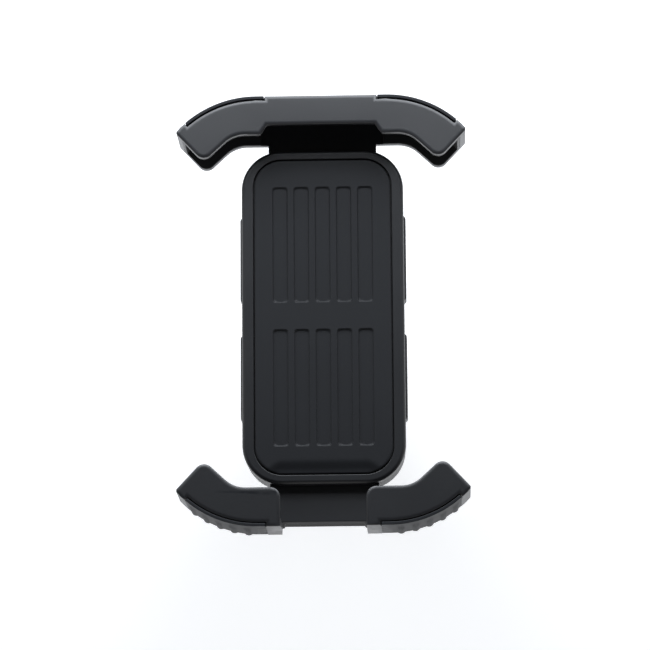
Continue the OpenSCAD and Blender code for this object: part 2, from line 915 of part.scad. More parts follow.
// A ring sector of the given half angle about the downward or upward direction
module arc_band(r0, r1, half, up) {
    mirror([0, up ? 0 : 1])
        intersection() {
            difference() {
                circle(r1, $fn = 128);
                circle(r0, $fn = 128);
            }
            polygon([[0, 0], [-2 * r1 * sin(half), 2 * r1 * cos(half)], [0, 4 * r1],
                [2 * r1 * sin(half), 2 * r1 * cos(half)]]);
        }
}

module clamp_frame() {
    depth = clamp_back + clamp_wall - frame_front;
    height = frame_top - arm_bottom;
    color("#2d2e31")
        difference() {
            across_bar(clamp_w)
                difference() {
                    translate([frame_front + depth / 2, arm_bottom + height / 2])
                        rounded_rect(depth, height, frame_corner);
                    circle(saddle_r, $fn = 128);
                    translate([frame_front - over, arm_top])
                        square([clamp_back - frame_front + over, mouth_top - arm_top]);
                }
            translate([0, 0, arm_bottom - over]) cylinder(h = arm_t + 2 * over, r = bush_r);
            for (p = stud_screw_spots())
                translate([p.x, p.y, frame_top - stud_bite - blind_gap])
                    cylinder(h = stud_bite + blind_gap + over, r = tap_r);
        }
}

module saddle_liner() {
    color("#18191b") across_bar(clamp_w) arc_band(bar_r, saddle_r, saddle_half, true);
}

module screw_bush() {
    color("#b9a26a")
        difference() {
            translate([0, 0, arm_bottom]) cylinder(h = arm_t, r = bush_r);
            translate([0, 0, arm_bottom - over]) cylinder(h = arm_t + 2 * over, r = screw_r + run_gap);
        }
}

module pressure_pad() {
    color("#35363a")
        difference() {
            across_bar(clamp_w)
                difference() {
                    translate([-pad_block_y, pad_bottom])
                        square([2 * pad_block_y, -saddle_r * cos(pad_half) - pad_bottom]);
                    circle(saddle_r, $fn = 128);
                }
            translate([0, 0, pad_bottom - over]) cylinder(h = screw_pocket + over, r = screw_r + run_gap);
            for (s = [-1, 1])
                translate([-clamp_w / 2 - over, s * pin_y, pin_z]) rotate([0, 90, 0])
                    cylinder(h = clamp_w + 2 * over, r = pin_r);
        }
}

module pressure_liner() {
    color("#18191b") across_bar(clamp_w) arc_band(bar_r, saddle_r, pad_half, false);
}

module retaining_pins() {
    color("#a7a9ac")
        for (s = [-1, 1])
            translate([-clamp_w / 2, s * pin_y, pin_z]) rotate([0, 90, 0])
                cylinder(h = clamp_w, r = pin_r);
}

module clamp_screw() {
    neck_z = pin_z - pin_r - pin_gap;
    neck_end = pin_z + pin_r + pin_gap;
    color("#a7a9ac") {
        slab(knob_bottom + knob_floor, neck_z) circle(screw_r);
        slab(neck_z - over, screw_tip) circle(screw_neck_r);
        slab(neck_end, screw_tip) circle(screw_r);
    }
}

module clamp_knob() {
    color("#26272a")
        difference() {
            slab(knob_bottom, knob_top)
                difference() {
                    circle(knob_r);
                    for (i = [0 : knob_lobes - 1])
                        rotate(i * 360 / knob_lobes)
                            translate([knob_r + knob_flute_r - knob_flute_depth, 0])
                                circle(knob_flute_r);
                }
            translate([0, 0, knob_bottom + knob_floor]) cylinder(h = knob_h, r = screw_r);
            translate([0, 0, knob_bottom - over]) cylinder(h = knob_cap_t + over, r = knob_cap_r);
        }
}

module knob_cap() {
    color("#45464a") slab(knob_bottom, knob_bottom + knob_cap_t) circle(knob_cap_r);
}

front_plate();
grip_pad();
rear_housing();
housing_screws();
upper_jaw();
upper_left_bumper();
upper_right_bumper();
upper_left_liner();
upper_right_liner();
upper_rack();
upper_rack_screws();
lower_jaw();
lower_left_bumper();
lower_right_bumper();
lower_left_liner();
lower_right_liner();
lower_rack();
lower_rack_screws();
drive_pinion();
pinion_axle();
return_spring();
lock_cam();
lock_lever();
lock_screw();
ball_socket();
socket_screws();
ball_seat();
collar_nut();
ball_stud();
stud_screws();
clamp_frame();
saddle_liner();
screw_bush();
pressure_pad();
pressure_liner();
retaining_pins();
clamp_screw();
clamp_knob();
knob_cap();
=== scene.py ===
"""Looks of a spring-closing phone cradle on a ball joint with a handlebar clamp.

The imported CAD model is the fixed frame. Hard parts stay as they are and get rounded edges and a
finish. The jaws, the bumpers, the plate, the pad, the liners and the clamp screw are rebuilt with
finer detail.
Sizes in the classes are in millimetres, and every mesh is made in metres.
"""

import json
import logging
import math
from collections.abc import Callable
from dataclasses import dataclass, field
from enum import Enum

import bmesh
import bpy
from mathutils import Matrix, Vector


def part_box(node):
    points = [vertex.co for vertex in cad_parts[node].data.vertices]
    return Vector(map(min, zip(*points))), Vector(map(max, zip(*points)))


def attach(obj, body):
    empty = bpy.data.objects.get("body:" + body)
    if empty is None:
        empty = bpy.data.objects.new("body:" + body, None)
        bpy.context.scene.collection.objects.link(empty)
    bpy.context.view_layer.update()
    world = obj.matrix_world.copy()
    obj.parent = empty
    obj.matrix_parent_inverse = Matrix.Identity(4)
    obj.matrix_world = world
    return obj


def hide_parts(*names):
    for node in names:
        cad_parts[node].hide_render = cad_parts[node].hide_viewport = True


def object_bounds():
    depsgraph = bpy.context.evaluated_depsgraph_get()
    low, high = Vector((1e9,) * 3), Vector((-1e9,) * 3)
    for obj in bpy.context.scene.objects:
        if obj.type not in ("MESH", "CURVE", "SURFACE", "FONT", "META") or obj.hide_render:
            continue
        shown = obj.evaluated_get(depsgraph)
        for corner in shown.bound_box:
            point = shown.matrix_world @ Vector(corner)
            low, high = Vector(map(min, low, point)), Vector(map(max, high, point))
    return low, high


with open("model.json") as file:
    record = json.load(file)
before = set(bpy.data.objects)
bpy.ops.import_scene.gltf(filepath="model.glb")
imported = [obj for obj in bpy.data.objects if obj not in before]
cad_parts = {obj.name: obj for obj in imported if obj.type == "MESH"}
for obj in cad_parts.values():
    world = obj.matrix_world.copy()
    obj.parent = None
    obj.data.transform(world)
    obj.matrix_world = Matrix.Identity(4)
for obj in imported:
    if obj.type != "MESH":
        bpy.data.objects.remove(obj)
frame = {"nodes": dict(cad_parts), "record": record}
CAD_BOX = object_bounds()

MM = 0.001
SMOOTH_BELOW = 32.0  # degrees: edges that turn less than this are shaded smooth
FLAT_BELOW = 0.5  # degrees: faces that turn less than this are joined into one
SAME_PLACE = 1e-6  # metres: points closer than this are one point
SAME_LEVEL = 0.01  # millimetres: heights closer than this are one height
LOG = logging.getLogger("cradle")
Point = tuple[float, float]
Colour = tuple[float, float, float, float]


# ---------------------------------------------------------------- shader maths


@dataclass(frozen=True)
class Value:
    """A node's output socket that works in Python expressions.

    Args:
        graph: The node graph that the socket belongs to.
        socket: The output socket itself.
    """

    graph: "Graph"
    socket: bpy.types.NodeSocket

    def _math(self, operation: str, first: "Value | float", second: "Value | float") -> "Value":
        """One Math node on two operands."""
        return self.graph.node("ShaderNodeMath", {"operation": operation}, {0: first, 1: second})

    def __add__(self, other: "Value | float") -> "Value":
        """Sum."""
        return self._math("ADD", self, other)

    __radd__ = __add__

    def __sub__(self, other: "Value | float") -> "Value":
        """Difference."""
        return self._math("SUBTRACT", self, other)

    def __rsub__(self, other: float) -> "Value":
        """Difference with the number first."""
        return self._math("SUBTRACT", other, self)

    def __mul__(self, other: "Value | float") -> "Value":
        """Product."""
        return self._math("MULTIPLY", self, other)

    __rmul__ = __mul__

    def between(self, low: float, high: float) -> "Value":
        """A smooth step from 0 at low to 1 at high.

        Args:
            low: The value that gives 0.
            high: The value that gives 1.

        Returns:
            The stepped value.
        """
        return self.graph.node(
            "ShaderNodeMapRange",
            {"interpolation_type": "SMOOTHSTEP"},
            {"Value": self, "From Min": low, "From Max": high},
        )


class Graph:
    """The node graph of one material or world."""

    def __init__(self, tree: bpy.types.NodeTree) -> None:
        """Starts with an empty tree.

        Args:
            tree: The node tree to fill.
        """
        self.tree = tree
        tree.nodes.clear()

    def node(
        self,
        kind: str,
        settings: dict[str, object] | None = None,
        inputs: dict[str | int, object] | None = None,
        output: str | int = 0,
    ) -> Value:
        """Adds one node.

        Args:
            kind: The node's type name.
            settings: The node's own properties, set before its sockets.
            inputs: Values or links for its input sockets, by name or number.
            output: Which output socket to give back.

        Returns:
            The chosen output socket.
        """
        made = self.tree.nodes.new(kind)
        for name, value in (settings or {}).items():
            setattr(made, name, value)
        for key, value in (inputs or {}).items():
            if isinstance(value, Value):
                self.tree.links.new(value.socket, made.inputs[key])
            else:
                made.inputs[key].default_value = value
        return Value(self, made.outputs[output] if made.outputs else None)

    def place(self, stretch: tuple[float, float, float] = (1, 1, 1)) -> Value:
        """The point on the piece in millimetres, scaled along each axis.

        Args:
            stretch: The factor along each axis.

        Returns:
            The scaled point.
        """
        point = self.node("ShaderNodeTexCoord", output="Object")
        scale = [1000 * s for s in stretch]
        return self.node("ShaderNodeVectorMath", {"operation": "MULTIPLY"}, {0: point, 1: scale})

    def noise(self, where: Value, scale: float, detail: float = 2, rough: float = 0.5) -> Value:
        """Noise from 0 to 1.

        Args:
            where: The point that it is read at.
            scale: How many features there are to a millimetre.
            detail: The number of finer layers.
            rough: The weight of the finer layers.

        Returns:
            The noise.
        """
        sizes = {"Vector": where, "Scale": scale, "Detail": detail, "Roughness": rough}
        return self.node("ShaderNodeTexNoise", None, sizes, "Fac")

    def cells(self, where: Value, scale: float) -> Value:
        """Distance to the nearest of scattered points, for grain with round bottoms."""
        return self.node("ShaderNodeTexVoronoi", None, {"Vector": where, "Scale": scale}, "Distance")

    def blend(self, share: Value | float, first: object, second: object) -> Value:
        """A colour between two colours.

        Args:
            share: 0 gives the first colour and 1 the second.
            first: The first colour, four numbers or a link.
            second: The second colour.

        Returns:
            The mixed colour.
        """
        settings = {"data_type": "RGBA", "clamp_factor": True}
        return self.node("ShaderNodeMix", settings, {0: share, 6: first, 7: second}, 2)

    def bump(self, height: Value, depth: float, strength: float = 1.0) -> Value:
        """A normal from a height.

        Args:
            height: The height, from 0 to 1.
            depth: What 1 stands for, in millimetres.
            strength: How much of the bump shows.

        Returns:
            The bumped normal.
        """
        sizes = {"Height": height, "Distance": depth * MM, "Strength": strength}
        return self.node("ShaderNodeBump", None, sizes)

    def edges(self, low: float, high: float) -> Value:
        """How much of an outer edge a point is on, from 0 to 1."""
        return self.node("ShaderNodeNewGeometry", output="Pointiness").between(low, high)


def grey(level: float, tint: float = 0.0) -> Colour:
    """A grey with a little blue.

    Args:
        level: The brightness.
        tint: How much more blue than red it has, as a share.

    Returns:
        Red, green, blue and alpha.
    """
    return (level * (1 - tint / 2), level, level * (1 + tint), 1.0)


def shade(colour: Colour, factor: float) -> Colour:
    """A colour with its brightness multiplied."""
    return tuple(c * factor for c in colour[:3]) + (1.0,)


# ------------------------------------------------------------------- finishes


@dataclass(frozen=True)
class Finish:
    """What every finish has.

    Args:
        name: The material's name.
        colour: The main colour, linear.
        roughness: The roughness at the middle of its range.
    """

    name: str
    colour: Colour
    roughness: float

    def material(self) -> bpy.types.Material:
        """The finish as a material, made once.

        Returns:
            The material.
        """
        title = f"{self.name}_finish"
        known = bpy.data.materials.get(title)
        if known is not None:
            return known
        made = bpy.data.materials.new(title)
        made.use_nodes = True
        graph = Graph(made.node_tree)
        surface = graph.node("ShaderNodeBsdfPrincipled", None, self.sockets(graph), "BSDF")
        graph.node("ShaderNodeOutputMaterial", None, {"Surface": surface})
        return made

    def sockets(self, graph: Graph) -> dict[str, object]:
        """Values and links for the shader's sockets."""
        raise NotImplementedError


@dataclass(frozen=True)
class MouldedPlastic(Finish):
    """Satin plastic from a spark-eroded mould.

    Args:
        grain: Grains to a millimetre.
        depth: Depth of the grain in millimetres.
        gloss: The shader's specular level.
        highlight_strength: How much lighter the edges are painted, a painted highlight where they catch
            the light.
    """

    grain: float = 2.6
    depth: float = 0.007
    gloss: float = 0.5
    highlight_strength: float = 0.35

    def sockets(self, graph: Graph) -> dict[str, object]:
        """Grain, faint clouding, and edges a little smoother with a painted highlight."""
        where = graph.place()
        cloud = graph.noise(where, 0.05, 3)
        fine = graph.noise(where, self.grain, 3, 0.6)
        pits = graph.cells(where, self.grain * 1.3)
        # Painted highlight: outer edges, in patches, are lightened in colour as if they caught the light;
        # they are also made a little less rough.
        edge_wear_and_highlight = graph.edges(0.53, 0.62) * graph.noise(where, 0.35, 4).between(0.35, 0.6)
        dark = shade(self.colour, 0.86)
        light = shade(self.colour, 1.14)
        # The lighter colour of the painted edge highlight.
        highlight_colour = shade(self.colour, 1 + self.highlight_strength * 2)
        body = graph.blend(cloud * 0.5 + fine * 0.5, dark, light)
        return {
            "Base Color": graph.blend(edge_wear_and_highlight * self.highlight_strength, body, highlight_colour),
            "Roughness": self.roughness + 0.12 * (fine - 0.5) + 0.05 * (cloud - 0.5) - 0.1 * edge_wear_and_highlight,
            "Specular IOR Level": self.gloss,
            "Normal": graph.bump(fine * 0.6 + pits * 0.4, self.depth),
        }


@dataclass(frozen=True)
class Silicone(Finish):
    """Matt moulded silicone or rubber.

    Args:
        grain: Grains to a millimetre.
        depth: Depth of the grain in millimetres.
        dust: How much pale dust lies in it.
        gloss: The shader's specular level.
    """

    grain: float = 5.0
    depth: float = 0.004
    dust: float = 0.05
    gloss: float = 0.5

    def sockets(self, graph: Graph) -> dict[str, object]:
        """A soft skin with a little dust and slow changes in shine."""
        where = graph.place()
        cloud = graph.noise(where, 0.04, 4, 0.6)
        fine = graph.noise(where, self.grain, 2)
        specks = graph.noise(where, 1.7, 5, 0.7).between(0.66, 0.78)
        dark = shade(self.colour, 0.9)
        light = shade(self.colour, 1.12)
        body = graph.blend(cloud, dark, light)
        return {
            "Base Color": graph.blend(specks * self.dust, body, grey(0.25)),
            "Roughness": self.roughness + 0.1 * (cloud - 0.5) + 0.06 * (fine - 0.5),
            "Specular IOR Level": self.gloss,
            "Sheen Weight": 0.06,
            "Sheen Roughness": 0.5,
            "Normal": graph.bump(fine, self.depth),
        }


@dataclass(frozen=True)
class Metal(Finish):
    """Machined, ground or blackened metal.

    Args:
        stretch: Factors that draw the marks out along an axis.
        marks: Marks to a millimetre across them.
        bare: The colour where the edges are rubbed bare.
    """

    stretch: tuple[float, float, float] = (1.0, 1.0, 0.05)
    marks: float = 6.0
    bare: Colour = (0.6, 0.6, 0.62, 1.0)

    def sockets(self, graph: Graph) -> dict[str, object]:
        """Fine tool marks, slow tarnish and bare edges."""
        marks = graph.noise(graph.place(self.stretch), self.marks, 4, 0.7)
        tarnish = graph.noise(graph.place(), 0.25, 4, 0.6)
        edge_wear_and_highlight = graph.edges(0.52, 0.6)
        dull = shade(self.colour, 0.72)
        body = graph.blend(tarnish.between(0.35, 0.7), self.colour, dull)
        return {
            "Base Color": graph.blend(edge_wear_and_highlight * 0.6, body, self.bare),
            "Metallic": 1.0,
            "Roughness": self.roughness + 0.2 * (marks - 0.5) + 0.12 * (tarnish - 0.5),
            "Normal": graph.bump(marks, 0.006, 0.6),
        }


FINISHES: dict[str, Finish] = {
    "plate_plastic": MouldedPlastic("plate_plastic", grey(0.011, 0.18), 0.4, gloss=0.6),
    "pad_silicone": Silicone("pad_silicone", grey(0.008, 0.3), 0.55, gloss=0.32),
    "housing_plastic": MouldedPlastic("housing_plastic", grey(0.012, 0.1), 0.46, grain=2.0, depth=0.02),
    "jaw_plastic": MouldedPlastic("jaw_plastic", grey(0.006, 0.4), 0.4, grain=3.0, gloss=1.0),
    "bumper_plastic": MouldedPlastic("bumper_plastic", grey(0.01, 0.3), 0.55, grain=3.4, gloss=0.35),
    "liner_silicone": Silicone("liner_silicone", grey(0.014, 0.1), 0.5),
    "rack_steel": Metal("rack_steel", grey(0.5, 0.03), 0.34, stretch=(1.0, 0.06, 1.0)),
    "fastener_steel": Metal("fastener_steel", grey(0.07, 0.03), 0.4, marks=9.0),
    "brass": Metal("brass", (0.66, 0.46, 0.2, 1.0), 0.3, bare=(0.85, 0.66, 0.34, 1.0)),
    "pin_steel": Metal("pin_steel", grey(0.52, 0.02), 0.26, stretch=(1.0, 1.0, 1.0)),
    "spring_steel": Metal("spring_steel", grey(0.42, 0.05), 0.3),
    "control_plastic": MouldedPlastic("control_plastic", grey(0.012, 0.1), 0.4, grain=2.4, depth=0.015),
    "socket_plastic": MouldedPlastic("socket_plastic", grey(0.014, 0.08), 0.45, grain=1.8, depth=0.02),
    "seat_nylon": MouldedPlastic("seat_nylon", (0.7, 0.68, 0.62, 1.0), 0.45, highlight_strength=0.05),
    "ball_plastic": MouldedPlastic("ball_plastic", grey(0.02, 0.08), 0.48, grain=3.5, depth=0.02),
    "clamp_plastic": MouldedPlastic("clamp_plastic", grey(0.013, 0.1), 0.45, grain=1.9, depth=0.025),
    "bar_rubber": Silicone("bar_rubber", grey(0.010, 0.03), 0.7, dust=0.12),
    "cap_plastic": MouldedPlastic("cap_plastic", grey(0.03, 0.1), 0.25, grain=4.0, depth=0.006),
}
SLOT_OF = {part["node"]: part["material_slot"] for part in frame["record"]["subparts"]}
BODY_OF = {node: body for body, nodes in frame["record"]["behaviour"]["bodies"].items() for node in nodes}


# ----------------------------------------------------------------- mesh helpers


def inset(loop: list[Point], distance: float) -> list[Point]:
    """A closed anticlockwise loop moved inwards.

    Args:
        loop: The loop.
        distance: How far each side moves.

    Returns:
        The moved loop, with as many points.
    """
    sharpest = 0.4
    moved: list[Point] = []
    for i, here in enumerate(loop):
        before, after = Vector(loop[i - 1]), Vector(loop[(i + 1) % len(loop)])
        along = (Vector(here) - before).normalized() + (after - Vector(here)).normalized()
        along.normalize()
        slant = max(sharpest, along.dot((after - Vector(here)).normalized()))
        moved.append(tuple(Vector(here) + Vector((-along.y, along.x)) * (distance / slant)))
    return moved


def merged_inset(loop: list[Point], distance: float) -> list[Point]:
    """A loop moved inwards, with the points that ran past each other put in one place.

    Args:
        loop: The loop, anticlockwise.
        distance: How far each side moves.

    Returns:
        A place for every point of the loop.
    """
    passes, shortest = 6, 0.05
    places = inset(loop, distance)
    group = list(range(len(loop)))
    for _ in range(passes):
        for i, here in enumerate(loop):
            j = (i + 1) % len(loop)
            along = Vector(loop[j]) - Vector(here)
            moved = Vector(places[j]) - Vector(places[i])
            if group[i] != group[j] and moved.dot(along) < shortest * along.length_squared:
                group = [group[i] if g == group[j] else g for g in group]
        for chosen in set(group):
            members = [k for k, g in enumerate(group) if g == chosen]
            centre = sum((Vector(places[k]) for k in members), Vector((0, 0))) / len(members)
            for k in members:
                places[k] = tuple(centre)
    return places


class MeshMaker:
    """Builds one closed mesh from rings of points.

    Args:
        name: The name of the piece.
    """

    def __init__(self, name: str) -> None:
        """Starts with nothing in it."""
        self.name = name
        self.bm = bmesh.new()

    def ring(self, points: list[Point], level: float, turn: Matrix | None = None) -> list:
        """Adds the points of one loop.

        Args:
            points: The loop, in millimetres.
            level: Its height along the third axis.
            turn: A turn of the axes, if the loop doesn't lie flat.

        Returns:
            The new vertices.
        """
        turn = turn or Matrix.Identity(3)
        return [self.bm.verts.new(turn @ Vector((x, y, level)) * MM) for x, y in points]

    def bridge(self, first: list, second: list) -> None:
        """Joins two rings with the same number of points."""
        for i in range(len(first)):
            j = (i + 1) % len(first)
            self.bm.faces.new((first[i], first[j], second[j], second[i]))

    def cap(self, ring: list) -> None:
        """Closes a ring with one face."""
        self.bm.faces.new(ring)

    def band_cap(self, ring: list) -> None:
        """Closes a ring whose second half runs back beside its first half."""
        last = len(ring) - 1
        for i in range(len(ring) // 2 - 1):
            self.bm.faces.new((ring[i], ring[i + 1], ring[last - i - 1], ring[last - i]))

    def band(self, levels: list[tuple[list[Point], float]], turn: Matrix) -> None:
        """A closed solid through long thin loops at different places along an axis.

        Args:
            levels: Loops with their places, from one end to the other.
            turn: A turn of the axes.
        """
        rings = [self.ring(points, level, turn) for points, level in levels]
        for first, second in zip(rings, rings[1:]):
            self.bridge(first, second)
        self.band_cap(rings[0])
        self.band_cap(rings[-1])

    def finish(self, smooth_below: float = SMOOTH_BELOW) -> bpy.types.Object:
        """Turns the mesh into an object.

        Args:
            smooth_below: Edges that turn less than this, in degrees, are shaded smooth.

        Returns:
            The object.
        """
        bmesh.ops.recalc_face_normals(self.bm, faces=self.bm.faces)
        mesh = bpy.data.meshes.new(self.name)
        self.bm.to_mesh(mesh)
        self.bm.free()
        mesh.shade_smooth()
        mesh.set_sharp_from_angle(angle=math.radians(smooth_below))
        made = bpy.data.objects.new(self.name, mesh)
        bpy.context.scene.collection.objects.link(made)
        level_shading(made)
        return made


def level_shading(piece: bpy.types.Object) -> None:
    """Keeps wide flat faces flat beside their rounded edges."""
    weighted = piece.modifiers.new("level_shading", "WEIGHTED_NORMAL")
    weighted.keep_sharp = True
    weighted.weight = 100


def smooth_by_angle() -> bpy.types.NodeTree:
    """A node modifier that marks an edge sharp where its faces turn enough.

    Returns:
        The modifier's node tree, made once.
    """
    known = bpy.data.node_groups.get("smooth_by_angle")
    if known is not None:
        return known
    tree = bpy.data.node_groups.new("smooth_by_angle", "GeometryNodeTree")
    tree.interface.new_socket("Geometry", in_out="INPUT", socket_type="NodeSocketGeometry")
    tree.interface.new_socket("Geometry", in_out="OUTPUT", socket_type="NodeSocketGeometry")
    graph = Graph(tree)
    shape = graph.node("NodeGroupInput")
    turn = graph.node("GeometryNodeInputMeshEdgeAngle")
    compare = {"data_type": "FLOAT", "operation": "LESS_THAN"}
    gentle = graph.node("FunctionNodeCompare", compare, {0: turn, 1: math.radians(SMOOTH_BELOW)})
    faces = graph.node("GeometryNodeSetShadeSmooth", {"domain": "FACE"}, {"Geometry": shape})
    edges = graph.node(
        "GeometryNodeSetShadeSmooth", {"domain": "EDGE"}, {"Geometry": faces, "Shade Smooth": gentle}
    )
    graph.node("NodeGroupOutput", None, {0: edges})
    return tree


def dress(piece: bpy.types.Object, node: str, replace: bool) -> None:
    """Gives a piece the finish of a CAD node's slot, and puts a new piece on its body.

    Args:
        piece: The piece or the CAD node's own object.
        node: The CAD node's name.
        replace: Whether the piece is a new one that stands for the node.
    """
    piece.data.materials.clear()
    piece.data.materials.append(FINISHES[SLOT_OF[node]].material())
    if replace:
        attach(piece, BODY_OF[node])
        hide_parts(node)
    LOG.info("%s: %s on %s", piece.name, SLOT_OF[node], BODY_OF[node])


def round_edges(node: str, width: float, segments: int = 3) -> None:
    """Rounds the edges of a CAD node with modifiers and gives it its finish.

    Args:
        node: The CAD node's name.
        width: How wide the rounding is, in millimetres.
        segments: Steps across the rounding.
    """
    piece = frame["nodes"][node]
    weld = piece.modifiers.new("weld", "WELD")
    weld.merge_threshold = SAME_PLACE
    flat = piece.modifiers.new("flat_faces", "DECIMATE")
    flat.decimate_type = "DISSOLVE"
    flat.angle_limit = math.radians(FLAT_BELOW)
    bevel = piece.modifiers.new("rounding", "BEVEL")
    bevel.width = width * MM
    bevel.segments = segments
    bevel.limit_method = "ANGLE"
    bevel.angle_limit = math.radians(35)
    bevel.miter_outer = "MITER_ARC"
    bevel.use_clamp_overlap = False
    shading = piece.modifiers.new("shading", "NODES")
    shading.node_group = smooth_by_angle()
    level_shading(piece)
    dress(piece, node, replace=False)


@dataclass(frozen=True)
class EdgeRule:
    """Which sharp edges of a rebuilt part get which rounding.

    Args:
        chosen: Tells from an edge's two ends, in millimetres, whether the rule holds.
        width: Width of the rounding in millimetres.
        segments: Steps across it.
    """

    chosen: Callable[[Vector, Vector], bool]
    width: float
    segments: int = 3


class Rebuilt:
    """A CAD part's shape, cleaned up so that its edges can be worked one by one.

    Args:
        node: The CAD node's name.
        name: The name of the new piece.
    """

    def __init__(self, node: str, name: str) -> None:
        """Copies the part and joins its triangles into whole faces."""
        self.node = node
        self.maker = MeshMaker(name)
        self.bm = self.maker.bm
        self.bm.from_mesh(frame["nodes"][node].data)
        bmesh.ops.remove_doubles(self.bm, verts=self.bm.verts, dist=SAME_PLACE)
        bmesh.ops.dissolve_limit(
            self.bm, angle_limit=math.radians(FLAT_BELOW), verts=self.bm.verts, edges=self.bm.edges
        )

    def slope_border(self, level: float, width: float, drop: float) -> None:
        """Gives the flat faces at a height a shallow sloping border.

        Args:
            level: The faces' height in millimetres.
            width: Width of the border.
            drop: How much lower its outer edge is.
        """
        faces = [
            f for f in self.bm.faces
            if f.normal.z > 0.999 and abs(f.calc_center_median().z / MM - level) < SAME_LEVEL
        ]
        for face in faces:
            rim = list(face.verts)
            loop = [(v.co.x / MM, v.co.y / MM) for v in rim]
            self.bm.faces.remove(face)
            places = merged_inset(loop, width)
            made = {p: self.bm.verts.new(Vector((*p, level)) * MM) for p in dict.fromkeys(places)}
            for i, outer in enumerate(rim):
                j = (i + 1) % len(rim)
                corners = [outer, rim[j], made[places[j]], made[places[i]]]
                self.bm.faces.new(list(dict.fromkeys(corners)))
            self.bm.faces.new([made[p] for p in dict.fromkeys(places)])
            for outer in rim:
                outer.co.z -= drop * MM

    def taper_ends(self, steepness: float) -> None:
        """Slopes the ends of ridges that stop short of the part's own ends.

        Args:
            steepness: How far an end drops for each millimetre that it stands out.
        """
        levels = [v.co.z for v in self.bm.verts]
        clear, largest = MM / 10, 3 * MM * MM
        low, high = min(levels) + clear, max(levels) - clear
        ends = [
            f for f in self.bm.faces
            if abs(f.normal.z) > 0.99 and low < f.calc_center_median().z < high
            and f.calc_area() < largest
        ]
        for face in ends:
            pairs = [(a, b) for a in face.verts for b in face.verts if a is not b]
            start, stop = max(pairs, key=lambda pair: (pair[0].co - pair[1].co).length)
            chord = (stop.co - start.co).normalized()
            lift = math.copysign(steepness, face.normal.z)
            drops = {v: (v.co - start.co).cross(chord).length * lift for v in face.verts}
            for vert, drop in drops.items():
                vert.co.z -= drop

    def round(self, rules: list[EdgeRule], sharper_than: float = 30.0) -> None:
        """Rounds the sharp edges that each rule chooses, one rule after the other.

        Args:
            rules: The rules.
            sharper_than: Only edges that turn more than this, in degrees, count.
        """
        limit = math.radians(sharper_than)
        for rule in rules:
            edges = [
                e for e in self.bm.edges
                if e.is_manifold and e.calc_face_angle() > limit
                and rule.chosen(e.verts[0].co / MM, e.verts[1].co / MM)
            ]
            bmesh.ops.bevel(
                self.bm, geom=edges, offset=rule.width * MM, offset_type="OFFSET",
                segments=rule.segments, profile=0.5, affect="EDGES", clamp_overlap=False,
                miter_outer="ARC", material=-1,
            )

    def finish(self) -> bpy.types.Object:
        """The new piece, dressed and on its body."""
        piece = self.maker.finish()
        dress(piece, self.node, replace=True)
        return piece


# ------------------------------------------------------------------ assemblies


